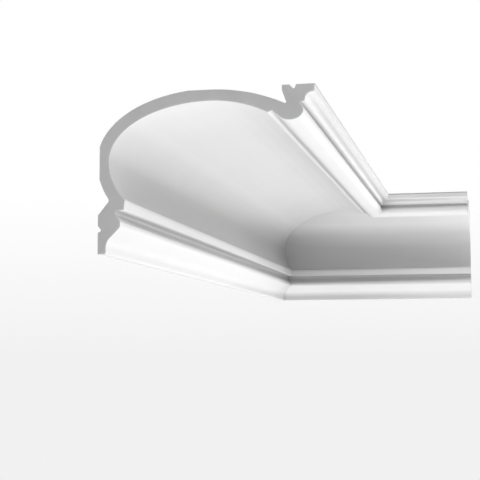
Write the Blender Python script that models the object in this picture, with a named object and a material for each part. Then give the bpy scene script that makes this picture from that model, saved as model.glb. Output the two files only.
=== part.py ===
# Inside corner of a cove cornice: two lengths of one foam moulding, mitred where two walls meet.
# The section is drawn once, outwards from the wall and down from the ceiling, and both lengths carry it.
# The origin is the middle of the whole corner's box, on the level of the underside.

from math import acos, atan2, cos, pi, radians, sin, tan

import bmesh
import bpy
from mathutils import Vector

# Overall sizes, in metres
WALL_DROP = 0.1555            # height of the moulding down the wall
CEILING_REACH = 0.2100        # how far it comes out along the ceiling
LEFT_RUN = 0.9900             # left length along its wall, from the cut end to the corner of the room
RIGHT_RUN = 0.3300            # right length along its wall, from the corner of the room to the cut end
MITRE_GAP = 0.0003            # open joint between the two mitred faces

# Shell behind the cove
SHELL = 0.0121                # thickness of the foam behind the cove
RELIEF = 0.0012               # how far the back is held off the wall and the ceiling
COVE_FROM_WALL = 0.0110       # cove's deepest point, out from the wall
COVE_FROM_CEILING = 0.0122    # cove's highest point, down from the ceiling
COVE_HEEL = 0.0382            # height of the deepest point above the lower fillet
COVE_TOE = 0.0559             # distance of the highest point back from the step

# Lower bracket: heights go up from the underside, reaches go out from the wall
FOOT_REACH = 0.0083
FOOT_ROUND = 0.0015
OGEE_HEIGHT = 0.0115          # where the ogee leaves the foot
OGEE_REACH = 0.0225           # flank above the ogee
OGEE_SLOPE = radians(45.0)
OGEE_HOLLOW = 0.0140          # radius of its hollow
OGEE_SWELL = 0.0065           # radius of its swelling
OGEE_FLANK = 0.0052           # upright flank above the swelling
SCOTIA_RISE = 0.0095          # height of the small hollow under the fillet
SCOTIA_DEPTH = 0.0071         # its corner, in from the ogee's flank
SCOTIA_ROUND = 0.0030
FILLET_REACH = 0.0260         # lower fillet's under edge
FILLET_LIFT = 0.0017          # slope of the fillet's soffit
FILLET_FACE = 0.0096          # height of its face
FILLET_LEAN = 0.0007          # how far the face leans out
WALL_BED = 0.0375             # height of the flat that is glued to the wall
SHOULDER_RISE = 0.0138        # rise of the sloping shoulder above that flat
SHOULDER_ROUND = 0.0035
WALL_GROOVE = 0.0209          # glue groove's near edge, above the underside

# Upper bracket: inward goes back from the ceiling tip, drops go down from the ceiling
TIP_FACE = 0.0077             # height of the ceiling fillet
TIP_LEAN = 0.0004
CAVETTO_LEDGE = 0.0021        # flat between the fillet and the quarter hollow
CAVETTO_RADIUS = 0.0070
CAVETTO_FLANK = 0.0013        # upright flank under the quarter hollow
QUIRK_DEPTH = 0.0050          # quirk's bottom, in from that flank
QUIRK_DROP = 0.0015
BEAD_INWARD = 0.0143          # bead's middle, in from that flank
BEAD_DROP = 0.0084            # bead's middle, below that flank
BEAD_HALF_WIDTH = 0.0127
BEAD_HALF_HEIGHT = 0.0091
BEAD_SHOULDER = radians(36.0)  # how far round its top the bead goes into the quirk
STEP_INWARD = 0.0168          # bottom of the step, in from the bead's middle
STEP_LIFT = 0.0004
STEP_WIDTH = 0.0045           # from the bottom of the step to the cove's upper edge
STEP_DROP = 0.0016
CEILING_BED = 0.0314          # width of the flat that is glued to the ceiling
NOTCH_FLANK = 0.0050          # upright stretch of the bed's inner side
NOTCH_BEND = 0.0030
NOTCH_INWARD = 0.0267         # bottom of the notch between bed and shell, in from the tip
NOTCH_DROP = 0.0182
NOTCH_ROUND = 0.0012
CEILING_GROOVE = 0.0180       # glue groove's near edge, in from the tip

# Details that repeat
GROOVE_WIDTH = 0.0063
WALL_GROOVE_DEPTH = 0.0038    # depth of the groove's corner, before it is rounded
CEILING_GROOVE_DEPTH = 0.0048
GROOVE_LEAN = 0.0017          # lean of its steep side
GROOVE_ROUND = 0.0012
ARRIS = 0.0005                # softening of the moulded edges
SOFT_ARRIS = 0.0010           # softening of the cove's upper edge
COVE_STEPS = 44               # facets around the main curve of the cove
ARC_STEPS = 12                # facets around each of its end arcs
BEAD_STEPS = 22
CAVETTO_STEPS = 9
FACET_TURN = radians(11.0)    # turn between two facets of a rounded corner
BACK_OVERRUN = 1.6            # how far the back's lower arc is followed past the cove's, as a factor

primer_color = (0.86, 0.86, 0.85)
foam_color = (0.42, 0.42, 0.42)


def corner(reach, height, radius=0.0):
    """A corner of the outline, with the radius that rounds it."""
    return (Vector((reach, height)), radius)


def plain(points):
    """Points of a curve that is already smooth."""
    return [(point, 0.0) for point in points]


def rounded(corners):
    """The closed outline through all corners, each rounded as far as its two sides leave room."""
    outline = []
    for index, (point, radius) in enumerate(corners):
        before = corners[index - 1][0] - point
        after = corners[(index + 1) % len(corners)][0] - point
        turn = pi - before.angle(after)
        if radius == 0.0 or turn < FACET_TURN / 2:
            outline.append(point)
            continue
        setback = min(radius * tan(turn / 2), 0.45 * before.length, 0.45 * after.length)
        inward = (before.normalized() + after.normalized()).normalized()
        centre = point + inward * (setback / sin(turn / 2))
        first = point + before.normalized() * setback - centre
        last = point + after.normalized() * setback - centre
        steps = max(2, round(turn / FACET_TURN))
        for step in range(steps + 1):
            angle = turn * step / steps
            outline.append(centre + (first * sin(turn - angle) + last * sin(angle)) / sin(turn))
    return outline


def tangent_arc(start, heading, end, grow=0.0, overrun=1.0):
    """The arc that leaves start along heading and passes through end.

    Grow moves it away from its centre, and overrun carries it on past its end.
    """
    chord = end - start
    along = chord.dot(heading)
    aside = chord - heading * along
    radius = chord.length_squared / (2 * aside.length)
    toward_centre = aside.normalized()
    centre = start + toward_centre * radius
    sweep = atan2(along, radius - aside.length) * overrun
    points = []
    for step in range(ARC_STEPS + 1):
        angle = sweep * step / ARC_STEPS
        points.append(centre + (heading * sin(angle) - toward_centre * cos(angle)) * (radius + grow))
    return points


def glue_groove(place, near_edge, depth):
    """A groove cut into a bed: steep on the side of the bed's free edge, sloping on the other."""
    return [
        place(near_edge, 0.0),
        place(near_edge + GROOVE_LEAN, depth, GROOVE_ROUND),
        place(near_edge + GROOVE_WIDTH, 0.0),
    ]


def up_the_wall(height, depth, radius=0.0):
    """A corner placed from the underside, at a depth behind the wall bed."""
    return corner(depth, height, radius)


def from_tip(inward, drop, radius=0.0):
    """A corner placed from the ceiling tip."""
    return corner(CEILING_REACH - inward, WALL_DROP - drop, radius)


# Levels of the lower bracket, each built on the one below it
ogee_top = OGEE_HEIGHT + (OGEE_REACH - FOOT_REACH) * tan(OGEE_SLOPE)
flank_top = ogee_top + OGEE_FLANK
scotia_top = flank_top + SCOTIA_RISE
fillet_foot = scotia_top + FILLET_LIFT
fillet_top = fillet_foot + FILLET_FACE

# Places on the upper bracket, each built on the one nearer to the ceiling tip
hollow_inward = TIP_LEAN + CAVETTO_LEDGE
flank_inward = hollow_inward + CAVETTO_RADIUS
flank_foot = TIP_FACE + CAVETTO_RADIUS + CAVETTO_FLANK
bead_inward = flank_inward + BEAD_INWARD
bead_drop = flank_foot + BEAD_DROP
step_inward = bead_inward + STEP_INWARD
step_drop = bead_drop - STEP_LIFT

# The cove's edges, and the two points where it runs along the wall and along the ceiling
lower_edge = Vector((FILLET_REACH + FILLET_LEAN, fillet_top))
upper_edge = from_tip(step_inward + STEP_WIDTH, step_drop + STEP_DROP)[0]
deepest = Vector((COVE_FROM_WALL, fillet_top + COVE_HEEL))
highest = Vector((upper_edge.x - COVE_TOE, WALL_DROP - COVE_FROM_CEILING))


def lower_front():
    """The wall side's front, from the underside up to the lower fillet."""
    return [
        corner(0.0, 0.0),
        corner(FOOT_REACH, 0.0, FOOT_ROUND),
        corner(FOOT_REACH, OGEE_HEIGHT, OGEE_HOLLOW),
        corner(OGEE_REACH, ogee_top, OGEE_SWELL),
        corner(OGEE_REACH, flank_top, ARRIS),
        corner(OGEE_REACH - SCOTIA_DEPTH, scotia_top, SCOTIA_ROUND),
        corner(FILLET_REACH, fillet_foot, ARRIS),
        corner(*lower_edge, ARRIS),
    ]


def cove(grow=0.0, overrun=1.0):
    """The cove from its lower edge to its highest point, moved back along its normals by grow.

    An arc climbs from the edge to the deepest point, where a quarter of an ellipse takes over.
    """
    points = tangent_arc(deepest, Vector((0.0, -1.0)), lower_edge, grow, overrun)[::-1]
    across = highest.x - deepest.x
    rise = highest.y - deepest.y
    for step in range(1, COVE_STEPS + 1):
        angle = pi / 2 * step / COVE_STEPS
        normal = Vector((-cos(angle) / across, sin(angle) / rise)).normalized()
        point = Vector((highest.x - across * cos(angle), deepest.y + rise * sin(angle)))
        points.append(point + normal * grow)
    return points


def upper_front():
    """The ceiling side's front: the cove's upper edge, step, bead, quirk, quarter hollow and fillet."""
    lead_in = Vector((-STEP_INWARD / BEAD_HALF_WIDTH, -STEP_LIFT / BEAD_HALF_HEIGHT))
    touch = atan2(lead_in.y, lead_in.x) % (2 * pi) - acos(1 / lead_in.length)
    bead = []
    for step in range(BEAD_STEPS + 1):
        angle = touch - (touch + BEAD_SHOULDER) * step / BEAD_STEPS
        bead.append(from_tip(bead_inward - BEAD_HALF_WIDTH * cos(angle),
                             bead_drop + BEAD_HALF_HEIGHT * sin(angle)))
    hollow = []
    for step in range(CAVETTO_STEPS + 1):
        angle = pi / 2 * step / CAVETTO_STEPS
        hollow.append(from_tip(flank_inward - CAVETTO_RADIUS * (1 - cos(angle)),
                               TIP_FACE + CAVETTO_RADIUS * (1 - sin(angle))))
    return [
        corner(*upper_edge, SOFT_ARRIS),
        from_tip(step_inward, step_drop, ARRIS),
        *bead,
        from_tip(flank_inward + QUIRK_DEPTH, flank_foot + QUIRK_DROP, ARRIS),
        from_tip(flank_inward, flank_foot, ARRIS),
        *hollow,
        from_tip(TIP_LEAN, TIP_FACE, ARRIS),
        from_tip(0.0, 0.0, ARRIS),
    ]


def back_of_shell():
    """The hidden side, from the notch by the ceiling bed down to the shoulder above the wall bed."""
    crown = Vector((highest.x, WALL_DROP - RELIEF))
    notch = from_tip(NOTCH_INWARD, NOTCH_DROP)[0]
    points = tangent_arc(crown, Vector((1.0, 0.0)), notch)[-2:0:-1]
    shoulder_height = WALL_BED + SHOULDER_RISE
    for point in reversed(cove(SHELL, BACK_OVERRUN)):
        if point.y < shoulder_height:
            share = (points[-1].y - shoulder_height) / (points[-1].y - point.y)
            shoulder = points[-1].lerp(point, share)
            break
        points.append(Vector((max(point.x, RELIEF), min(point.y, WALL_DROP - RELIEF))))
    while (points[-1] - shoulder).length < 2 * SHOULDER_ROUND:
        points.pop()
    return [corner(*notch, NOTCH_ROUND), *plain(points), corner(*shoulder, SHOULDER_ROUND)]


def section():
    """The whole outline, from the foot of the wall bed round the front and along the back again."""
    falling = tangent_arc(highest, Vector((1.0, 0.0)), upper_edge)
    return rounded([
        *lower_front(),
        *plain(cove()[1:]),
        *plain(falling[1:-1]),
        *upper_front(),
        *glue_groove(from_tip, CEILING_GROOVE, CEILING_GROOVE_DEPTH),
        from_tip(CEILING_BED, 0.0, ARRIS),
        from_tip(CEILING_BED, NOTCH_FLANK, NOTCH_BEND),
        *back_of_shell(),
        corner(0.0, WALL_BED, ARRIS),
        *glue_groove(up_the_wall, WALL_GROOVE, WALL_GROOVE_DEPTH)[::-1],
    ])


def saw(mesh, point, normal):
    """Cut off what lies beyond a plane and close the cut with one flat face."""
    cut = bmesh.ops.bisect_plane(
        mesh,
        geom=mesh.verts[:] + mesh.edges[:] + mesh.faces[:],
        dist=1e-7,
        plane_co=point,
        plane_no=normal,
        clear_outer=True,
    )
    edges = [item for item in cut["geom_cut"] if isinstance(item, bmesh.types.BMEdge)]
    bmesh.ops.edgeloop_fill(mesh, edges=edges)


def finish(name, color, roughness):
    """A plain painted or foam finish."""
    material = bpy.data.materials.new(name)
    material.use_nodes = True
    material.diffuse_color = (*color, 1.0)
    shader = material.node_tree.nodes["Principled BSDF"]
    shader.inputs["Base Color"].default_value = (*color, 1.0)
    shader.inputs["Roughness"].default_value = roughness
    shader.inputs["Metallic"].default_value = 0.0
    return material


def moulding_length(name, run, mitre_side):
    """One length, with its back on x = 0 and its run along +y, mitred at the start or at the far end."""
    mesh = bmesh.new()
    profile = mesh.faces.new([mesh.verts.new((point.x, 0.0, point.y)) for point in section()])
    grown = bmesh.ops.extrude_face_region(mesh, geom=[profile])["geom"]
    far_end = [item for item in grown if isinstance(item, bmesh.types.BMVert)]
    bmesh.ops.translate(mesh, verts=far_end, vec=(0.0, run, 0.0))
    gap = MITRE_GAP / 2
    if mitre_side == "far":
        normal = Vector((1.0, 1.0, 0.0)).normalized()
        saw(mesh, Vector((0.0, run, 0.0)) - normal * gap, normal)
    else:
        normal = Vector((1.0, -1.0, 0.0)).normalized()
        saw(mesh, -normal * gap, normal)
    bmesh.ops.recalc_face_normals(mesh, faces=mesh.faces)

    data = bpy.data.meshes.new(name)
    for face in mesh.faces:
        face.material_index = 1 if len(face.verts) > 4 else 0
    mesh.to_mesh(data)
    mesh.free()
    data.materials.append(finish(name + "_primer", primer_color, 0.55))
    data.materials.append(finish(name + "_cut_foam", foam_color, 0.85))
    data.shade_smooth()
    data.set_sharp_from_angle(angle=radians(30.0))
    body = bpy.data.objects.new(name, data)
    bpy.context.scene.collection.objects.link(body)
    return body


for leftover in list(bpy.data.objects):
    bpy.data.objects.remove(leftover)

room_corner = bpy.data.objects.new("room_corner", None)
bpy.context.scene.collection.objects.link(room_corner)
room_corner.location = (-RIGHT_RUN / 2, LEFT_RUN / 2, 0.0)

left_length = moulding_length("left_length", LEFT_RUN, "far")
left_length.parent = room_corner
left_length.location = (0.0, -LEFT_RUN, 0.0)

right_length = moulding_length("right_length", RIGHT_RUN, "start")
right_length.parent = room_corner
right_length.rotation_euler = (0.0, 0.0, radians(-90.0))
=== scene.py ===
from math import cos, pi, radians, sin, tan

import bpy
import numpy as np
from mathutils import Matrix, Vector
from mathutils.geometry import delaunay_2d_cdt


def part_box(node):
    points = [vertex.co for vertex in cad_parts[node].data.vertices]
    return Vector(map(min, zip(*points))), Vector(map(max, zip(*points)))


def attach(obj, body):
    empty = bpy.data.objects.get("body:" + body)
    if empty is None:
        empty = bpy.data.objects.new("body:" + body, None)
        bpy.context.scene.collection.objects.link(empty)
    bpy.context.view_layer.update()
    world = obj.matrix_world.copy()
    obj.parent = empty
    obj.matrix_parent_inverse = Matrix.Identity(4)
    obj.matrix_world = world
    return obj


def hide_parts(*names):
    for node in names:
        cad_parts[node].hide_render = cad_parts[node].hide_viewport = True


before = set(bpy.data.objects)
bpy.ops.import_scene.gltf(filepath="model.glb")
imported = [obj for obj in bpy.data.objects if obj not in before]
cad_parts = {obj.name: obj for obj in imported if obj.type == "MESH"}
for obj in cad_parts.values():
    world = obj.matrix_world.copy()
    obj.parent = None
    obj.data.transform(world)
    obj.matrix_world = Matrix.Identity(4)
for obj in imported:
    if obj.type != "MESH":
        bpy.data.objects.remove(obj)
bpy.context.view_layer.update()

# Where the two lengths stand: the planes of their wall beds, the underside and both runs come from the
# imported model
leftLow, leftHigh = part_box("left_length")
rightLow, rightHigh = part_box("right_length")
place = {
    "wallX": leftLow[0],               # plane of the left length's wall bed
    "wallY": rightHigh[1],             # plane of the right length's wall bed
    "underside": leftLow[2],
    "drop": leftHigh[2] - leftLow[2],
    "reach": leftHigh[0] - leftLow[0],
    "leftRun": rightHigh[1] - leftLow[1],
    "rightRun": rightHigh[0] - leftLow[0],
}
print("frame: reach %.4f, drop %.4f, runs %.3f and %.3f m"
      % (place["reach"], place["drop"], place["leftRun"], place["rightRun"]))


# Section of the moulding, in metres and degrees. Lower bracket: reach out from the wall bed, height above
# the underside. Upper bracket: inward from the ceiling tip, drop below the ceiling bed.
moulding = {
    "shell": 0.0121, "relief": 0.0012,
    "coveFromWall": 0.0110, "coveFromCeiling": 0.0122, "coveHeel": 0.0382, "coveToe": 0.0559,
    "footReach": 0.0083, "footRound": 0.0015,
    "ogeeHeight": 0.0115, "ogeeReach": 0.0225, "ogeeSlope": 45.0,
    "ogeeHollow": 0.0140, "ogeeSwell": 0.0065, "ogeeFlank": 0.0052,
    "scotiaRise": 0.0095, "scotiaDepth": 0.0071, "scotiaRound": 0.0030,
    "filletReach": 0.0260, "filletLift": 0.0017, "filletFace": 0.0096, "filletLean": 0.0007,
    "wallBed": 0.0375, "shoulderRise": 0.0138, "shoulderRound": 0.0035, "wallGroove": 0.0209,
    "tipFace": 0.0077, "tipLean": 0.0004, "paintedShadowLine": 0.0015,   # painted shadow line: the grey back finish on the top strip below the ceiling bed
    "cavettoLedge": 0.0021, "cavettoRadius": 0.0070, "cavettoFlank": 0.0013,
    "quirkDepth": 0.0050, "quirkDrop": 0.0015,
    "beadInward": 0.0143, "beadDrop": 0.0084, "beadHalfWidth": 0.0127, "beadHalfHeight": 0.0091,
    "beadShoulder": 36.0,
    "stepInward": 0.0168, "stepLift": 0.0004, "stepWidth": 0.0045, "stepDrop": 0.0016,
    "ceilingBed": 0.0314, "notchFlank": 0.0050, "notchBend": 0.0030,
    "notchInward": 0.0267, "notchDrop": 0.0182, "notchRound": 0.0012, "ceilingGroove": 0.0180,
    "grooveWidth": 0.0063, "grooveLean": 0.0017, "grooveRound": 0.0012,
    "wallGrooveDepth": 0.0038, "ceilingGrooveDepth": 0.0048,
    "arris": 0.0005, "softArris": 0.0010,
    "backOverrun": 1.6,                # how far the back's lower arc is followed past the cove's, as a factor
    "shoulderClear": 2.0, "notchClear": 4.0,    # the back's curve stops this many roundings from a corner
}
curveSteps = {                         # how many points each curve of the section gets
    "heel": 50, "quarter": 200, "toe": 60, "bead": 72, "cavetto": 24,
    "backQuarter": 160, "backHeel": 90, "overBed": 60, "rounding": 9,
}
front, back = 0.0, 1.0                 # which side of the moulding a stretch of the outline is on


# A corner of the outline: reach, height, rounding radius, side
def corner(reach, height, radius=0.0, side=front):
    return np.array([[reach, height, radius, side]])


# A corner placed inward from the ceiling tip and down from the ceiling bed
def fromTip(inward, drop, radius=0.0, side=front):
    return corner(place["reach"] - inward, place["drop"] - drop, radius, side)


# Points of a smooth curve, as corners that need no rounding
def curve(points, side=front):
    return np.column_stack([points, np.zeros(len(points)), np.full(len(points), side)])


# Arc that leaves start along heading and passes through end: the centre lies square to the heading, at
# chord squared over twice the sideways part of the chord. Grow widens it, overrun carries it on past end.
def tangentArc(start, heading, end, steps, grow=0.0, overrun=1.0):
    start, heading, end = (np.asarray(value, float) for value in (start, heading, end))
    chord = end - start
    along = chord @ heading
    aside = chord - heading * along
    width = np.hypot(*aside)
    radius = chord @ chord / (2 * width)
    toCentre = aside / width
    angle = np.linspace(0, np.arctan2(along, radius - width) * overrun, steps)[:, None]
    outward = heading * np.sin(angle) - toCentre * np.cos(angle)
    return start + toCentre * radius + outward * (radius + grow)


# Quarter of an ellipse: the reach falls short of the highest point by the cosine and the height rises from
# the deepest by the sine. Each point then moves back along its normal by grow.
def coveQuarter(deepest, highest, steps, grow=0.0):
    angle = np.linspace(0, pi / 2, steps)
    across, rise = highest - deepest
    points = np.column_stack([highest[0] - across * np.cos(angle), deepest[1] + rise * np.sin(angle)])
    normal = np.column_stack([-np.cos(angle) / across, np.sin(angle) / rise])
    return points + normal / np.linalg.norm(normal, axis=1)[:, None] * grow


# The section's corners in order: underside, ogee, small hollow, fillet, cove, step, bead, quirk, quarter
# hollow and tip in front, then ceiling bed, notch, back of the shell and wall bed behind.
def sectionCorners(m, steps):
    ogeeTop = m["ogeeHeight"] + (m["ogeeReach"] - m["footReach"]) * tan(radians(m["ogeeSlope"]))
    flankTop = ogeeTop + m["ogeeFlank"]
    scotiaTop = flankTop + m["scotiaRise"]
    filletFoot = scotiaTop + m["filletLift"]
    filletTop = filletFoot + m["filletFace"]
    flankInward = m["tipLean"] + m["cavettoLedge"] + m["cavettoRadius"]
    flankFoot = m["tipFace"] + m["cavettoRadius"] + m["cavettoFlank"]
    beadInward, beadDrop = flankInward + m["beadInward"], flankFoot + m["beadDrop"]
    stepInward, stepDrop = beadInward + m["stepInward"], beadDrop - m["stepLift"]

    lowerEdge = np.array([m["filletReach"] + m["filletLean"], filletTop])
    upperEdge = fromTip(stepInward + m["stepWidth"], stepDrop + m["stepDrop"])[0, :2]
    deepest = np.array([m["coveFromWall"], filletTop + m["coveHeel"]])
    highest = np.array([upperEdge[0] - m["coveToe"], place["drop"] - m["coveFromCeiling"]])

    # The cove's arcs leave out the points that the quarter has too, and those in an edge's rounding
    heel = tangentArc(deepest, (0, -1), lowerEdge, steps["heel"])[::-1][2:-1]
    toe = tangentArc(highest, (1, 0), upperEdge, steps["toe"])[1:-2]
    quarter = coveQuarter(deepest, highest, steps["quarter"])

    # The bead is an ellipse: the flank from the step touches it, and it ends inside the quirk
    leadIn = np.array([-m["stepInward"] / m["beadHalfWidth"], -m["stepLift"] / m["beadHalfHeight"]])
    touch = np.arctan2(leadIn[1], leadIn[0]) % (2 * pi) - np.arccos(1 / np.hypot(*leadIn))
    angle = np.linspace(touch, -radians(m["beadShoulder"]), steps["bead"])
    bead = np.column_stack([place["reach"] - beadInward + m["beadHalfWidth"] * np.cos(angle),
                            place["drop"] - beadDrop - m["beadHalfHeight"] * np.sin(angle)])
    angle = np.linspace(0, pi / 2, steps["cavetto"])
    cavetto = np.column_stack([place["reach"] - flankInward + m["cavettoRadius"] * (1 - np.cos(angle)),
                               place["drop"] - m["tipFace"] - m["cavettoRadius"] * (1 - np.sin(angle))])

    # Back of the shell: an arc from the notch to the crown, then the cove moved back by the shell, held
    # behind the planes of both beds by the relief, down to the level of the shoulder
    crown = (highest[0], place["drop"] - m["relief"])
    notch = fromTip(m["notchInward"], m["notchDrop"])[0, :2]
    shoulderHeight = m["wallBed"] + m["shoulderRise"]
    backQuarter = coveQuarter(deepest, highest, steps["backQuarter"], m["shell"])[::-1]
    backHeel = tangentArc(deepest, (0, -1), lowerEdge, steps["backHeel"], m["shell"], m["backOverrun"])[1:]
    shoulderReach = np.interp(-shoulderHeight, -backHeel[:, 1], backHeel[:, 0])
    shoulder = np.array([shoulderReach, shoulderHeight])
    behind = np.concatenate([backQuarter, backHeel])
    behind = np.column_stack([np.maximum(behind[:, 0], m["relief"]),
                              np.minimum(behind[:, 1], place["drop"] - m["relief"])])
    fromShoulder = np.hypot(*(behind - shoulder).T)
    behind = behind[(behind[:, 1] > shoulderHeight)
                    & (fromShoulder > m["shoulderClear"] * m["shoulderRound"])]
    overBed = tangentArc(crown, (1, 0), notch, steps["overBed"])[:0:-1]
    overBed = overBed[np.hypot(*(overBed - notch).T) > m["notchClear"] * m["notchRound"]]

    return np.concatenate([
        corner(0, 0),
        corner(m["footReach"], 0, m["footRound"]),
        corner(m["footReach"], m["ogeeHeight"], m["ogeeHollow"]),
        corner(m["ogeeReach"], ogeeTop, m["ogeeSwell"]),
        corner(m["ogeeReach"], flankTop, m["arris"]),
        corner(m["ogeeReach"] - m["scotiaDepth"], scotiaTop, m["scotiaRound"]),
        corner(m["filletReach"], filletFoot, m["arris"]),
        corner(*lowerEdge, m["arris"]),
        curve(heel),
        curve(quarter),
        curve(toe),
        corner(*upperEdge, m["softArris"]),
        fromTip(stepInward, stepDrop, m["arris"]),
        curve(bead),
        fromTip(flankInward + m["quirkDepth"], flankFoot + m["quirkDrop"], m["arris"]),
        fromTip(flankInward, flankFoot, m["arris"]),
        curve(cavetto),
        fromTip(m["tipLean"], m["tipFace"], m["arris"]),
        # Painted shadow line: from here up to the tip, the top strip takes the grey back finish
        fromTip(m["tipLean"] * m["paintedShadowLine"] / m["tipFace"], m["paintedShadowLine"], 0.0, back),
        fromTip(0, 0, m["arris"], back),
        *grooveCorners(m, ceilingBed, m["ceilingGroove"], m["ceilingGrooveDepth"]),
        fromTip(m["ceilingBed"], 0, m["arris"], back),
        fromTip(m["ceilingBed"], m["notchFlank"], m["notchBend"], back),
        corner(*notch, m["notchRound"], back),
        curve(overBed, back),
        curve(behind, back),
        corner(*shoulder, m["shoulderRound"], back),
        corner(0, m["wallBed"], m["arris"], back),
        *grooveCorners(m, wallBed, m["wallGroove"], m["wallGrooveDepth"])[::-1],
    ])


# A corner on a bed, by its distance along the bed from the free edge and its depth into the foam
def wallBed(along, depth, radius):
    return corner(depth, along, radius, back)


def ceilingBed(along, depth, radius):
    return fromTip(along, depth, radius, back)


# A glue groove in a bed: a steep side near the free edge, a rounded bottom and a sloping side
def grooveCorners(m, onBed, nearEdge, depth):
    return [onBed(nearEdge, 0, m["arris"] / 2),
            onBed(nearEdge + m["grooveLean"], depth, m["grooveRound"]),
            onBed(nearEdge + m["grooveWidth"], 0, m["arris"] / 2)]


# Every corner becomes an arc of that many points, all corners at once: the arc starts and ends one setback
# from the corner, radius times tan(half the turn), which takes at most that share of a side. A corner that
# turns less than the least turn, in radians, stays as it is.
def roundCorners(corners, steps, leastTurn=0.02, mostOfSide=0.45):
    points, radius, side = corners[:, :2], corners[:, 2], corners[:, 3]
    toBefore = np.roll(points, 1, axis=0) - points
    toAfter = np.roll(points, -1, axis=0) - points
    lengthBefore, lengthAfter = np.linalg.norm(toBefore, axis=1), np.linalg.norm(toAfter, axis=1)
    toBefore, toAfter = toBefore / lengthBefore[:, None], toAfter / lengthAfter[:, None]
    turn = pi - np.arccos(np.clip((toBefore * toAfter).sum(1), -1, 1))
    turned = (radius > 0) & (turn > leastTurn)
    half = np.where(turned, turn, 1.0) / 2
    setback = np.minimum(radius * np.tan(half), mostOfSide * np.minimum(lengthBefore, lengthAfter))
    middle = toBefore + toAfter
    middleLength = np.maximum(np.linalg.norm(middle, axis=1), 1e-9)[:, None]
    middle = np.where(turned[:, None], middle / middleLength, 0)
    centre = points + middle * (setback / np.sin(half))[:, None]
    first = points + toBefore * setback[:, None] - centre
    last = points + toAfter * setback[:, None] - centre
    share = np.linspace(0, 1, steps)[None, :, None]
    angle = 2 * half[:, None, None]
    arcs = centre[:, None] + (first[:, None] * np.sin((1 - share) * angle)
                              + last[:, None] * np.sin(share * angle)) / np.sin(angle)
    arcs = np.where(turned[:, None, None], arcs, points[:, None])
    kept = turned[:, None] | (np.arange(steps)[None, :] == 0)
    sides = np.repeat(side[:, None], steps, axis=1)
    return arcs[kept], sides[kept]


# Each side of the outline is divided evenly, into its length over the spacing, rounded up
def divide(points, sides, spacing):
    step = np.roll(points, -1, axis=0) - points
    parts = np.maximum(1, np.ceil(np.linalg.norm(step, axis=1) / spacing).astype(int))
    owner = np.repeat(np.arange(len(points)), parts)
    share = (np.arange(len(owner)) - np.repeat(np.cumsum(parts) - parts, parts)) / parts[owner]
    return points[owner] + step[owner] * share[:, None], sides[owner]


# The outline moved into the solid by depth: each point goes along the mean of its two side normals, over
# the cosine of half their turn, so that both sides move by the same depth.
def inset(points, depth):
    ahead = np.roll(points, -1, axis=0) - points
    ahead = ahead / np.linalg.norm(ahead, axis=1)[:, None]
    behind = np.roll(ahead, 1, axis=0)
    inward = np.column_stack([-(ahead + behind)[:, 1], (ahead + behind)[:, 0]])
    return points + inward * (2 * depth / np.maximum((inward ** 2).sum(1), 1.0))[:, None]


# How much shade is painted into the primer's colour: where the outline lies open it keeps its colour, and
# where it lies hollow it is painted greyer
paintedShadeValues = {
    "rays": 49, "widest": 82.0,        # rays from each point, up to this many degrees from its normal
    "lift": 0.0002,                    # how far off the surface they start
    "thinned": 4,                      # every fourth point of the outline gives the sides that they may meet
    "average": 0.0022,                 # metres along the outline
    # A tight bend loses openness, which paints more shade into the crease
    "tightBend": 143.0, "paintedCreaseShade": 0.26,      # a bend of 1 / 143 m or tighter loses this much
    "cornerFade": 0.110,               # fading of what is lost in the inside corner
    # Painted light: near the sawn ends the primer's colour is made lighter
    "paintedEndLight": 0.45, "endFade": 0.070,          # won back near the sawn ends
}


# Turning part of two plane vectors: the first's reach times the second's height, less the other way round
def crossOf(a, b):
    return a[..., 0] * b[..., 1] - a[..., 1] * b[..., 0]


# How openly each point of the outline lies: the share of rays, weighted by their cosine to its normal,
# that leave it in the plane of the section and meet no other side of the outline. It is averaged along the
# outline by a bell curve. Where the outline, averaged the same way, bends inward, it loses a part, which
# grows from nothing at half the tight bend to the whole loss at the tight bend.
# The share only sets painted shade: the lower it is, the greyer the primer's colour is painted
def openShare(outline, values):
    ahead = np.roll(outline, -1, axis=0) - outline
    before = np.roll(ahead, 1, axis=0)
    length = (np.hypot(*ahead.T) + np.hypot(*before.T)) / 2
    heading = ahead + before
    heading = heading / np.linalg.norm(heading, axis=1)[:, None]
    normal = np.column_stack([heading[:, 1], -heading[:, 0]])
    lean = np.radians(np.linspace(-values["widest"], values["widest"], values["rays"]))
    ray = normal[:, None] * np.cos(lean)[:, None] + heading[:, None] * np.sin(lean)[:, None]
    start = (outline + normal * values["lift"])[:, None, None]
    corners = outline[::values["thinned"]]
    side = np.roll(corners, -1, axis=0) - corners
    offset = corners - start
    across = crossOf(ray[:, :, None], side)
    across = np.where(np.abs(across) < 1e-12, 1e-12, across)
    along = crossOf(offset, side) / across
    share = crossOf(offset, ray[:, :, None]) / across
    blocked = ((along > 1e-5) & (share >= 0) & (share < 1)).any(axis=2)
    weight = np.cos(lean)
    share = ((~blocked) * weight).sum(1) / weight.sum()

    travelled = np.cumsum(length)
    apart = np.abs(travelled[:, None] - travelled)
    apart = np.minimum(apart, travelled[-1] - apart)
    bell = np.exp(-0.5 * (apart / values["average"]) ** 2)
    turn = np.arctan2(crossOf(before, ahead), (before * ahead).sum(1))
    bend = -(bell @ turn) / (bell @ length)
    tight = np.clip(bend / values["tightBend"] * 2 - 1, 0, 1)
    return np.clip(bell @ (share * length) / (bell @ length) - values["paintedCreaseShade"] * tight, 0, 1)


# Painted light and shade along a length: painted light near the sawn end and painted shade in the inside
# corner, each fading with the exponential of the distance, change the openness by that share of what it lacks
# of 1
def paintedShadeShares(paintedShadeOpenness, fromSawn, fromMitre, paintedCornerShade, values):
    change = (values["paintedEndLight"] * np.exp(-fromSawn / values["endFade"])
              - paintedCornerShade * np.exp(-fromMitre / values["cornerFade"]))
    return paintedShadeOpenness + change * (1 - paintedShadeOpenness)


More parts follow.
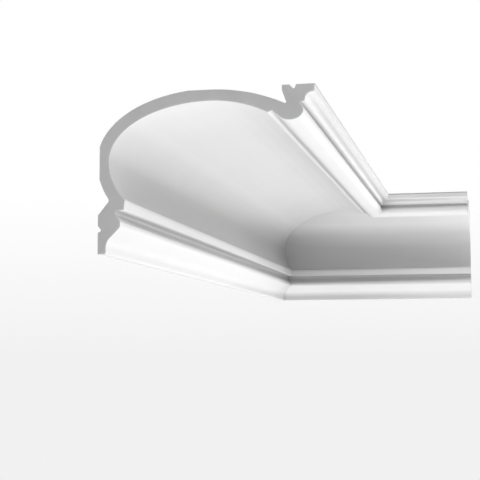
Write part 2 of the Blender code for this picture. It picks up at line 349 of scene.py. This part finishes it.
# Distance of each point from the outline, and whether it lies inside it by the even-odd rule
def depthInside(points, outline):
    start, end = outline, np.roll(outline, -1, axis=0)
    side = end - start
    offset = points[:, None] - start[None]
    share = np.clip((offset * side).sum(2) / (side ** 2).sum(1), 0, 1)
    distance = np.linalg.norm(offset - share[..., None] * side, axis=2).min(1)
    spans = (start[:, 1] > points[:, 1:2]) != (end[:, 1] > points[:, 1:2])
    rise = np.where(side[:, 1] == 0, 1e-12, side[:, 1])
    crossing = start[:, 0] + (points[:, 1:2] - start[:, 1]) / rise * side[:, 0]
    inside = (spans & (points[:, :1] < crossing)).sum(1) % 2 == 1
    return distance, inside


# A flat end: the outline filled with triangles over a grid of inner points, which keep the margin from it,
# each with its depth under the skin. The outline's own points come first, in their order.
def fillSection(outline, spacing, margin):
    low, high = outline.min(0), outline.max(0)
    reach, height = np.meshgrid(np.arange(low[0], high[0], spacing), np.arange(low[1], high[1], spacing))
    grid = np.column_stack([reach.ravel(), height.ravel()])
    depth, inside = depthInside(grid, outline)
    kept = inside & (depth > margin)
    points = np.concatenate([outline, grid[kept]])
    depths = np.concatenate([np.zeros(len(outline)), depth[kept]])
    scale = 1000.0                     # filled in millimetres, where its own tolerance is small enough
    filled = delaunay_2d_cdt([Vector(point) for point in (points * scale).tolist()], [],
                             [list(range(len(outline)))], 1, 1e-7)
    triangles = np.array([face for face in filled[2] if len(face) == 3])
    owner = np.array([origins[0] for origins in filled[3]])
    return points, depths, owner[triangles]


# Triangles turned round, where they need it, so that they look along y with this sign
def facing(vertices, triangles, sign):
    a, b, c = (vertices[triangles[:, k]] for k in range(3))
    turned = np.sign(np.cross(b - a, c - a)[:, 1]) != sign
    return np.where(turned[:, None], triangles[:, ::-1], triangles)


# How both lengths are cut, and how fine their meshes are
lengthValues = {
    "spacing": 0.0011,                 # along the outline
    "station": 0.030,                  # along the run
    "sawnEdge": 0.00022,               # softening of the sawn edge
    "edgeRings": (0.0, 0.35),          # rings that turn that edge, as shares of its depth
    "sawnSpacing": 0.0024, "sawnMargin": 0.00108,      # grid inside the sawn end
    "mitreSpacing": 0.012, "mitreMargin": 0.004,       # grid inside the mitred end
    "joint": 0.00004,                  # tight joint at the mitre
    "sharpAbove": 32.0,                # degrees between faces
}
coated, bare, sawn = 0, 1, 2           # the finishes in a piece's slots


# Where the mitre is along the run at this reach: half the joint short of the plane at 45 degrees
def mitrePlace(reach, run, mitreAtFar, joint):
    gap = joint / 2 * 2 ** 0.5
    return run - reach - gap if mitreAtFar else reach + gap


# One length: the outline carried along y between two end planes, closed by a filled face at each. The sawn
# end is square with a softened edge, and the mitred end follows each point's own reach.
def mouldingMesh(name, outline, sides, paintedShadeOpenness, paintedCornerShade, run, mitreAtFar, values):
    count = len(outline)
    sawnAt, inward = (0.0, 1.0) if mitreAtFar else (run, -1.0)
    edge = values["sawnEdge"]
    innerOutline = inset(outline, edge)
    mitreAt = mitrePlace(outline[:, 0], run, mitreAtFar, values["joint"])

    # Rings from the sawn end to the mitre. Those that turn the edge have grown by the root of their share,
    # and the stations of the run lie closer together near both ends.
    turn = np.array(values["edgeRings"])[:, None]
    turnAt = np.broadcast_to(sawnAt + inward * edge * turn, (len(turn), count))
    turnFlat = innerOutline + (outline - innerOutline) * turn[..., None] ** 0.5
    station = np.linspace(0, 1, int(np.ceil(run / values["station"])) + 1)[:, None]
    station = (station + (1 - np.cos(pi * station)) / 2) / 2
    firstAt = sawnAt + inward * edge
    along = np.concatenate([turnAt, firstAt + (mitreAt - firstAt) * station])
    flat = np.concatenate([turnFlat, np.broadcast_to(outline, (len(station), count, 2))])
    rings = np.stack([flat[..., 0], along, flat[..., 1]], axis=2)

    index = np.arange(len(rings) * count).reshape(len(rings), count)
    ahead = np.roll(index, -1, axis=1)
    quads = np.stack([index[:-1], ahead[:-1], ahead[1:], index[1:]], axis=2).reshape(-1, 4)
    quadSlot = np.broadcast_to(np.where(sides == back, bare, coated), (len(rings) - 1, count)).ravel()
    if mitreAtFar:                     # the outline turns left as seen from its near end
        quads = quads[:, ::-1]

    # Filled ends, each on the ring that it closes: the near one looks along -y and the far one along +y
    sawnPoints, sawnDepth, sawnFaces = fillSection(innerOutline, values["sawnSpacing"], values["sawnMargin"])
    mitrePoints, mitreDepth, mitreFaces = fillSection(outline, values["mitreSpacing"], values["mitreMargin"])
    sawnInner, mitreInner = sawnPoints[count:], mitrePoints[count:]
    mitreInnerAt = mitrePlace(mitreInner[:, 0], run, mitreAtFar, values["joint"])
    ringCount = len(rings) * count
    sawnIndex = np.concatenate([index[0], ringCount + np.arange(len(sawnInner))])
    mitreIndex = np.concatenate([index[-1], ringCount + len(sawnInner) + np.arange(len(mitreInner))])
    vertices = np.concatenate([
        rings.reshape(-1, 3),
        np.column_stack([sawnInner[:, 0], np.full(len(sawnInner), sawnAt), sawnInner[:, 1]]),
        np.column_stack([mitreInner[:, 0], mitreInnerAt, mitreInner[:, 1]]),
    ])
    ends = np.concatenate([facing(vertices, sawnIndex[sawnFaces], -inward),
                           facing(vertices, mitreIndex[mitreFaces], inward)])

    mesh = bpy.data.meshes.new(name)
    mesh.from_pydata(vertices.tolist(), [], quads.tolist() + ends.tolist())
    slots = np.concatenate([quadSlot, np.full(len(ends), sawn)])
    mesh.polygons.foreach_set("material_index", slots.astype(np.int32))
    depth = np.concatenate([np.zeros(ringCount), sawnDepth[count:], mitreDepth[count:]])
    # Shares for painted shade in the primer's colour: the section's openness, with painted light near the
    # sawn end and painted shade near the mitre
    shares = paintedShadeShares(paintedShadeOpenness, np.abs(along - sawnAt), np.abs(along - mitreAt), paintedCornerShade, paintedShadeValues)
    shares = np.concatenate([shares.ravel(), np.ones(len(vertices) - ringCount)])
    for attributeName, numbers in (("depthUnderSkin", depth), ("paintedShadeOpenness", shares)):
        attribute = mesh.attributes.new(attributeName, "FLOAT", "POINT")
        attribute.data.foreach_set("value", numbers.astype(np.float32))
    mesh.shade_smooth()
    mesh.set_sharp_from_angle(angle=radians(values["sharpAbove"]))
    mesh.validate()
    return mesh


# Puts a mesh in its place in the corner: the left length as it is, the right one turned by -90 degrees,
# with the place in the mesh and the object at the origin
def standAt(mesh, name, alongLeftWall, materials):
    if alongLeftWall:
        move = Matrix.Translation((place["wallX"], place["wallY"] - place["leftRun"], place["underside"]))
    else:
        turn = Matrix(((0, 1, 0, 0), (-1, 0, 0, 0), (0, 0, 1, 0), (0, 0, 0, 1)))
        move = Matrix.Translation((place["wallX"], place["wallY"], place["underside"])) @ turn
    mesh.transform(move)
    for material in materials:
        mesh.materials.append(material)
    piece = bpy.data.objects.new(name, mesh)
    bpy.context.scene.collection.objects.link(piece)
    return piece


noiseSpan = (0.3, 0.7)                 # nearly all values of a noise lie between these


# A new material with its node tree and its shader
def newMaterial(name):
    material = bpy.data.materials.new(name)
    material.use_nodes = True
    tree = material.node_tree
    return material, tree, tree.nodes["Principled BSDF"]


# A node with its settings, whose inputs are linked where they are given a socket and set otherwise
def addNode(tree, kind, inputs=None, **settings):
    node = tree.nodes.new(kind)
    for setting, value in settings.items():
        setattr(node, setting, value)
    for socket, value in (inputs or {}).items():
        if isinstance(value, bpy.types.NodeSocket):
            tree.links.new(value, node.inputs[socket])
        else:
            node.inputs[socket].default_value = value
    return node


# A cloudy noise at that many waves a metre
def noiseAt(tree, where, scale, detail=2.0, roughness=0.5):
    inputs = {"Vector": where, "Scale": scale, "Detail": detail, "Roughness": roughness}
    return addNode(tree, "ShaderNodeTexNoise", inputs).outputs["Fac"]


# A value carried from one span to another, straight or with a smooth start and end
def mapTo(tree, value, fromLow, fromHigh, toLow, toHigh, way="LINEAR"):
    inputs = {"Value": value, "From Min": fromLow, "From Max": fromHigh, "To Min": toLow, "To Max": toHigh}
    return addNode(tree, "ShaderNodeMapRange", inputs, interpolation_type=way).outputs["Result"]


# The first colour where the share is 0, and the second where it is 1
def blendColor(tree, share, first, second):
    first, second = (value if isinstance(value, bpy.types.NodeSocket) else (*value, 1)
                     for value in (first, second))
    node = addNode(tree, "ShaderNodeMix", {"Factor": share, 6: first, 7: second}, data_type="RGBA")
    return node.outputs[2]


# One step of reckoning with two values
def calculate(tree, operation, first, second):
    return addNode(tree, "ShaderNodeMath", {0: first, 1: second}, operation=operation).outputs[0]


# White primer: a sprayed matt coat with a fine stipple and a slow, faint change of tone, with painted shade:
# the colour is painted greyer where the outline lies less open, in hollows, tight bends and the inside
# corner, and lighter near the sawn ends
primerValues = {
    "color": (0.79, 0.79, 0.79), "shade": (0.77, 0.77, 0.77), "cloud": 14,
    # hollow is the grey of the painted shade, reached below hollowBelow; the full colour holds above the
    # upper openness
    "hollow": (0.45, 0.45, 0.45), "hollowBelow": 0.47, "unshadedAbove": 0.91,
    "stipple": 1500, "stippleHeight": 0.00003, "stippleStrength": 0.6,
    "roll": 190, "rollHeight": 0.00004, "rollStrength": 0.5,
    "roughLow": 0.50, "roughHigh": 0.62,
}


def whitePrimer(values):
    material, tree, shader = newMaterial("whitePrimer")
    where = addNode(tree, "ShaderNodeTexCoord").outputs["Object"]
    cloud = noiseAt(tree, where, values["cloud"], detail=3)
    stipple = noiseAt(tree, where, values["stipple"])
    roll = noiseAt(tree, where, values["roll"], detail=3)
    tone = blendColor(tree, mapTo(tree, cloud, *noiseSpan, 0, 1), values["color"], values["shade"])
    # Painted shade: where the openness attribute is low, the colour is mixed towards the hollow grey
    share = addNode(tree, "ShaderNodeAttribute", attribute_name="paintedShadeOpenness").outputs["Fac"]
    full = mapTo(tree, share, values["hollowBelow"], values["unshadedAbove"], 0, 1, "SMOOTHSTEP")
    tone = blendColor(tree, full, values["hollow"], tone)
    tree.links.new(tone, shader.inputs["Base Color"])
    rough = mapTo(tree, stipple, *noiseSpan, values["roughLow"], values["roughHigh"])
    tree.links.new(rough, shader.inputs["Roughness"])
    coarse = addNode(tree, "ShaderNodeBump", {"Strength": values["rollStrength"],
                                              "Distance": values["rollHeight"], "Height": roll})
    fine = addNode(tree, "ShaderNodeBump", {"Strength": values["stippleStrength"],
                                            "Distance": values["stippleHeight"],
                                            "Height": stipple, "Normal": coarse.outputs["Normal"]})
    tree.links.new(fine.outputs["Normal"], shader.inputs["Normal"])
    return material


# Back of the moulding: the foam's own grey skin, bare of the coat, with flow marks and a few pinholes
backValues = {
    "color": (0.50, 0.50, 0.49), "shade": (0.45, 0.45, 0.44), "cloud": 34,
    "pinhole": (0.27, 0.27, 0.26), "pinholes": 260, "pinholeRim": (0.09, 0.16),
    "patches": 40, "patchEdge": (0.55, 0.62),    # pinholes show only in patches
    "flow": 60, "height": 0.00018, "strength": 0.7, "roughness": 0.72,
}


def mouldedBack(values):
    material, tree, shader = newMaterial("mouldedBack")
    where = addNode(tree, "ShaderNodeTexCoord").outputs["Object"]
    cloud = noiseAt(tree, where, values["cloud"], detail=5)
    flow = noiseAt(tree, where, values["flow"], detail=5, roughness=0.65)
    cell = addNode(tree, "ShaderNodeTexVoronoi", {"Vector": where, "Scale": values["pinholes"]})
    hole = mapTo(tree, cell.outputs["Distance"], *values["pinholeRim"], 1, 0)
    patch = mapTo(tree, noiseAt(tree, where, values["patches"]), *values["patchEdge"], 0, 1)
    hole = calculate(tree, "MULTIPLY", hole, patch)
    tone = blendColor(tree, mapTo(tree, cloud, *noiseSpan, 0, 1), values["color"], values["shade"])
    tone = blendColor(tree, hole, tone, values["pinhole"])
    tree.links.new(tone, shader.inputs["Base Color"])
    shader.inputs["Roughness"].default_value = values["roughness"]
    relief = calculate(tree, "SUBTRACT", flow, hole)
    bump = addNode(tree, "ShaderNodeBump", {"Strength": values["strength"],
                                            "Distance": values["height"], "Height": relief})
    tree.links.new(bump.outputs["Normal"], shader.inputs["Normal"])
    return material


# Sawn foam: grey cells that close up towards a dense skin, with the white coat as a thin rim at the edge
foamValues = {
    "color": (0.437, 0.437, 0.442), "skin": (0.463, 0.463, 0.468), "skinDepth": 0.0016,
    "rim": (0.62, 0.62, 0.62), "rimDepth": 0.00022, "rimFull": 0.6,    # share of its depth with the full tone
    "cell": (0.36, 0.36, 0.365), "cells": 1500, "cellWall": (0.15, 0.5),
    "patches": 60, "patchEdge": (0.35, 0.65), "leastOpen": 0.35,       # cells open more in some patches
    "cloud": 30, "cloudShare": 0.35,
    "height": 0.00012, "strength": 0.6, "roughness": 0.9,
}


def sawnFoam(values):
    material, tree, shader = newMaterial("sawnFoam")
    where = addNode(tree, "ShaderNodeTexCoord").outputs["Object"]
    depth = addNode(tree, "ShaderNodeAttribute", attribute_name="depthUnderSkin").outputs["Fac"]
    core = mapTo(tree, depth, values["rimDepth"], values["skinDepth"], 0, 1)
    rim = mapTo(tree, depth, values["rimDepth"] * values["rimFull"], values["rimDepth"], 1, 0)
    cell = addNode(tree, "ShaderNodeTexVoronoi", {"Vector": where, "Scale": values["cells"]})
    opened = mapTo(tree, cell.outputs["Distance"], *values["cellWall"], 1, 0)
    patch = mapTo(tree, noiseAt(tree, where, values["patches"], detail=4), *values["patchEdge"],
                  values["leastOpen"], 1)
    opened = calculate(tree, "MULTIPLY", calculate(tree, "MULTIPLY", opened, patch), core)
    cloud = mapTo(tree, noiseAt(tree, where, values["cloud"], detail=4), *noiseSpan, 0, 1)
    body = blendColor(tree, core, values["skin"], values["color"])
    body = blendColor(tree, calculate(tree, "MULTIPLY", cloud, values["cloudShare"]), body, values["cell"])
    tone = blendColor(tree, opened, body, values["cell"])
    tone = blendColor(tree, rim, tone, values["rim"])
    tree.links.new(tone, shader.inputs["Base Color"])
    shader.inputs["Roughness"].default_value = values["roughness"]
    relief = calculate(tree, "SUBTRACT", 1.0, opened)
    bump = addNode(tree, "ShaderNodeBump", {"Strength": values["strength"],
                                            "Distance": values["height"], "Height": relief})
    tree.links.new(bump.outputs["Normal"], shader.inputs["Normal"])
    return material


# The two lengths: the node that each replaces, its finish, its run and how much shade is painted into its
# inside corner
lengths = {
    "leftLength": {"node": "left_length", "slot": "left_primer", "alongLeftWall": True,
                   "run": place["leftRun"], "paintedCornerShade": 0.12},
    "rightLength": {"node": "right_length", "slot": "right_primer", "alongLeftWall": False,
                    "run": place["rightRun"], "paintedCornerShade": 0.35},
}

sectionOutline, sectionSides = roundCorners(sectionCorners(moulding, curveSteps), curveSteps["rounding"])
sectionOutline, sectionSides = divide(sectionOutline, sectionSides, lengthValues["spacing"])
sectionOpenness = openShare(sectionOutline, paintedShadeValues)
print("section: %d points" % len(sectionOutline))

finishes = [whitePrimer(primerValues), mouldedBack(backValues), sawnFoam(foamValues)]
print("finishes: %s" % ", ".join(finish.name for finish in finishes))

for pieceName, values in lengths.items():
    mesh = mouldingMesh(pieceName, sectionOutline, sectionSides, sectionOpenness, values["paintedCornerShade"],
                        values["run"], values["alongLeftWall"], lengthValues)
    piece = standAt(mesh, pieceName, values["alongLeftWall"], finishes)
    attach(piece, "root")
    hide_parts(values["node"])
    print("%s: %d faces" % (pieceName, len(mesh.polygons)))


# Floor: far below, because the moulding is seen from below. It is lit like a white table, and brightens
# outward until it meets the backdrop.
stageValues = {"level": -1.90, "radius": 15.0, "sides": 128, "color": (0.90, 0.90, 0.90), "roughness": 0.9,
               "glow": 0.50, "rimGlow": 0.80, "glowFrom": 5.0}


# A round floor: a fan of triangles from the middle to points at equal angles on the rim
def paleFloor(values):
    angle = np.arange(values["sides"]) * 2 * pi / values["sides"]
    rim = np.column_stack([np.cos(angle) * values["radius"], np.sin(angle) * values["radius"],
                           np.full(len(angle), values["level"])])
    points = np.concatenate([rim, [[0, 0, values["level"]]]])
    order = np.arange(len(angle))
    fan = np.column_stack([order, np.roll(order, -1), np.full(len(angle), len(angle))])
    mesh = bpy.data.meshes.new("floor")
    mesh.from_pydata(points.tolist(), [], fan.tolist())
    material, tree, shader = newMaterial("paleFloor")
    shader.inputs["Base Color"].default_value = (*values["color"], 1)
    shader.inputs["Roughness"].default_value = values["roughness"]
    where = addNode(tree, "ShaderNodeTexCoord").outputs["Object"]
    away = addNode(tree, "ShaderNodeVectorMath", {0: where}, operation="LENGTH").outputs["Value"]
    shader.inputs["Emission Color"].default_value = (1, 1, 1, 1)
    glow = mapTo(tree, away, values["glowFrom"], values["radius"], values["glow"], values["rimGlow"])
    tree.links.new(glow, shader.inputs["Emission Strength"])
    mesh.materials.append(material)
    floor = bpy.data.objects.new("floor", mesh)
    bpy.context.scene.collection.objects.link(floor)


# Light: round soft boxes on all sides and below, brightest on the right and behind, and a white backdrop.
# Each box has the name of its aim, its bearing from the front towards the right, its elevation, its
# distance, its width and its power.
lightValues = {
    "backdropHead": 1.0, "backdropFoot": 0.88, "headFrom": 0.13,   # the backdrop fades towards the floor
    "ambient": 0.08,
    "aims": {"middle": (0.0, 0.0, 0.08), "nearEnd": (-0.1, -0.45, 0.08)},
    "softBoxes": {
        "below": ("middle", 180, -75, 1.6, 0.7, 7.0),
        "rightFar": ("middle", 150, -10, 2.0, 1.0, 9.1),
        "rightHigh": ("middle", 120, 20, 2.0, 1.0, 27.8),
        "front": ("middle", 0, 20, 2.0, 1.0, 13.2),
        "leftFront": ("middle", 330, -20, 2.0, 0.8, 2.1),
        "nearEnd": ("nearEnd", 55, -35, 1.2, 0.5, 4.2),
        "behind": ("middle", 240, 30, 2.0, 1.0, 24.0),
    },
}


# The world: an even ambient light, and a backdrop that the camera alone sees, which grows brighter with the
# height of the view above the horizon
def softRoom(values):
    world = bpy.data.worlds.new("softRoom")
    bpy.context.scene.world = world
    world.use_nodes = True
    tree = world.node_tree
    way = addNode(tree, "ShaderNodeTexCoord").outputs["Generated"]
    rise = addNode(tree, "ShaderNodeSeparateXYZ", {"Vector": way}).outputs["Z"]
    backdrop = mapTo(tree, rise, 0.0, values["headFrom"], values["backdropFoot"], values["backdropHead"])
    seen = addNode(tree, "ShaderNodeLightPath").outputs["Is Camera Ray"]
    level = mapTo(tree, seen, 0, 1, values["ambient"], backdrop)
    tree.nodes["Background"].inputs["Color"].default_value = (1, 1, 1, 1)
    tree.links.new(level, tree.nodes["Background"].inputs["Strength"])


# A soft box stands at its distance along its bearing and elevation and points back at its aim
def softBox(name, aim, bearing, elevation, distance, width, power):
    light = bpy.data.lights.new(name, "AREA")
    light.shape = "DISK"
    light.size, light.energy = width, power
    lamp = bpy.data.objects.new(name, light)
    bearing, elevation = radians(bearing), radians(elevation)
    towards = Vector((cos(elevation) * sin(bearing), -cos(elevation) * cos(bearing), sin(elevation)))
    lamp.location = Vector(aim) + towards * distance
    lamp.rotation_euler = (-towards).to_track_quat("-Z", "Y").to_euler()
    lamp.visible_camera = False
    bpy.context.scene.collection.objects.link(lamp)


# Camera: on the right, below the moulding, turned to the left and tilted up, as in the photograph
cameraValues = {
    "position": (0.2040, -1.5799, -0.0967),
    "left": 11.99, "up": 5.54, "roll": 0.10,   # degrees
    "lens": 90.08, "sensor": 36.0,             # millimetres
}


def photoCamera(values):
    data = bpy.data.cameras.new("photoCamera")
    data.lens, data.sensor_width = values["lens"], values["sensor"]
    camera = bpy.data.objects.new("photoCamera", data)
    turned = (Matrix.Rotation(radians(values["left"]), 4, "Z")
              @ Matrix.Rotation(radians(90 + values["up"]), 4, "X")
              @ Matrix.Rotation(-radians(values["roll"]), 4, "Z"))
    camera.matrix_world = Matrix.Translation(values["position"]) @ turned
    bpy.context.scene.collection.objects.link(camera)
    bpy.context.scene.camera = camera


paleFloor(stageValues)
softRoom(lightValues)
for boxName, (aimName, *boxPlace) in lightValues["softBoxes"].items():
    softBox(boxName, lightValues["aims"][aimName], *boxPlace)
photoCamera(cameraValues)
bpy.context.scene.view_settings.view_transform = "Standard"
print("stage, light and camera are set")
